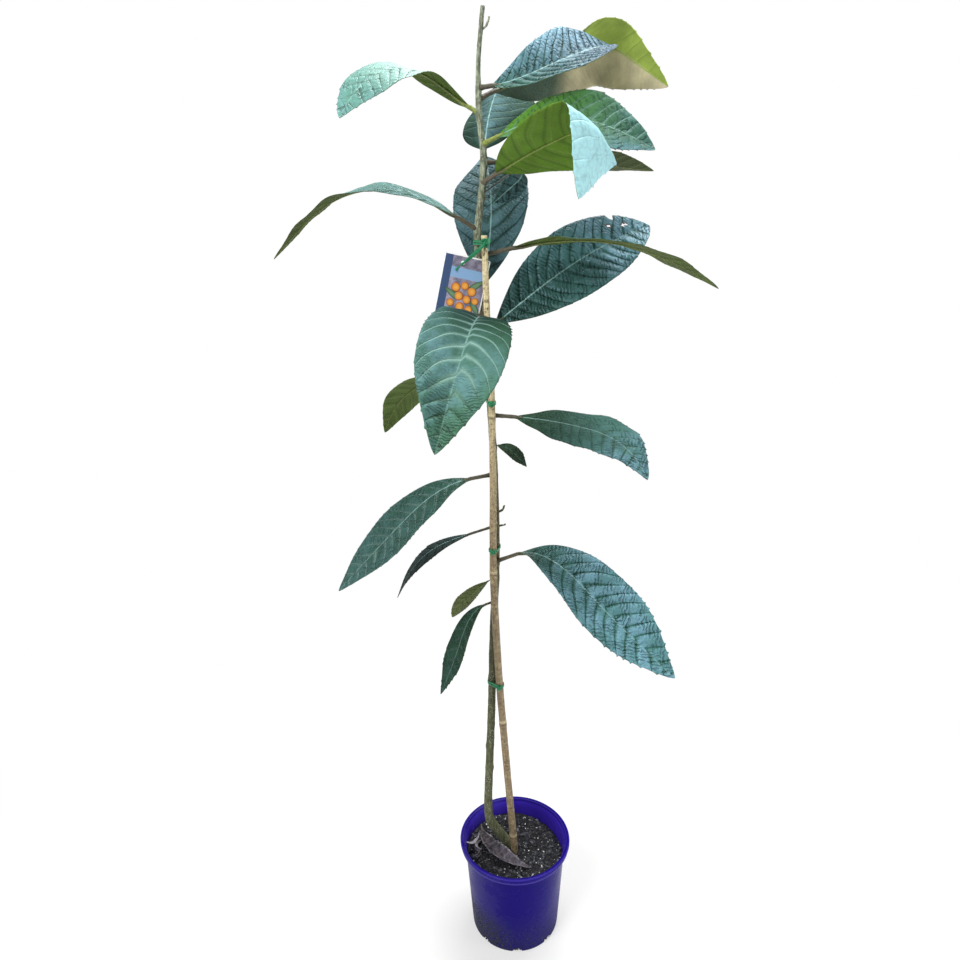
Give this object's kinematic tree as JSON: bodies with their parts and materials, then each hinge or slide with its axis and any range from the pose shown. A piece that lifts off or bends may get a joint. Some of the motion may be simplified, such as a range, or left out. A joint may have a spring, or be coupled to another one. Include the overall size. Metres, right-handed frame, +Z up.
{
  "type": "potted loquat sapling",
  "caption": "Young loquat tree with long ribbed leaves, growing in a round violet-blue nursery pot, tied to a bamboo stake and carrying a hang label.",
  "frame": {"origin": "centre of the pot's flat foot, on the ground", "axes": "+Z up along the tree, +X to the right and +Y to the back as the label is read"},
  "size_m": [0.5912, 0.4379, 1.5133],
  "materials": {
    "pot_plastic": "satin",
    "bark": "matte",
    "bamboo": "satin",
    "potting_mix": "matte",
    "leaf": "satin",
    "young_leaf": "satin",
    "dry_leaf": "matte",
    "tie_ribbon": "satin",
    "label_card": "satin"
  },
  "bodies": {
    "root": {"pot": "pot_plastic", "trunk": "bark", "bamboo_stake": "bamboo", "potting_mix": "potting_mix", "leaf_crown": "young_leaf", "leaf_top_right": "leaf", "leaf_top_left": "leaf", "leaf_back_upper": "leaf", "leaf_shoulder": "leaf", "leaf_behind": "leaf", "leaf_small_upper": "leaf", "leaf_folded": "young_leaf", "leaf_left_long": "leaf", "leaf_right_long": "leaf", "leaf_back_lower": "leaf", "leaf_front": "leaf", "leaf_right_broad": "leaf", "leaf_left_olive": "leaf", "leaf_right_middle": "leaf", "leaf_small_right": "leaf", "leaf_left_middle": "leaf", "leaf_left_narrow": "leaf", "leaf_right_low": "leaf", "leaf_small_left": "leaf", "leaf_left_low": "leaf", "fallen_leaf": "dry_leaf", "tie_top": "tie_ribbon", "tie_upper": "tie_ribbon", "tie_middle": "tie_ribbon", "tie_lower": "tie_ribbon", "plant_label": "label_card", "label_ribbon": "tie_ribbon"}
  },
  "joints": []
}
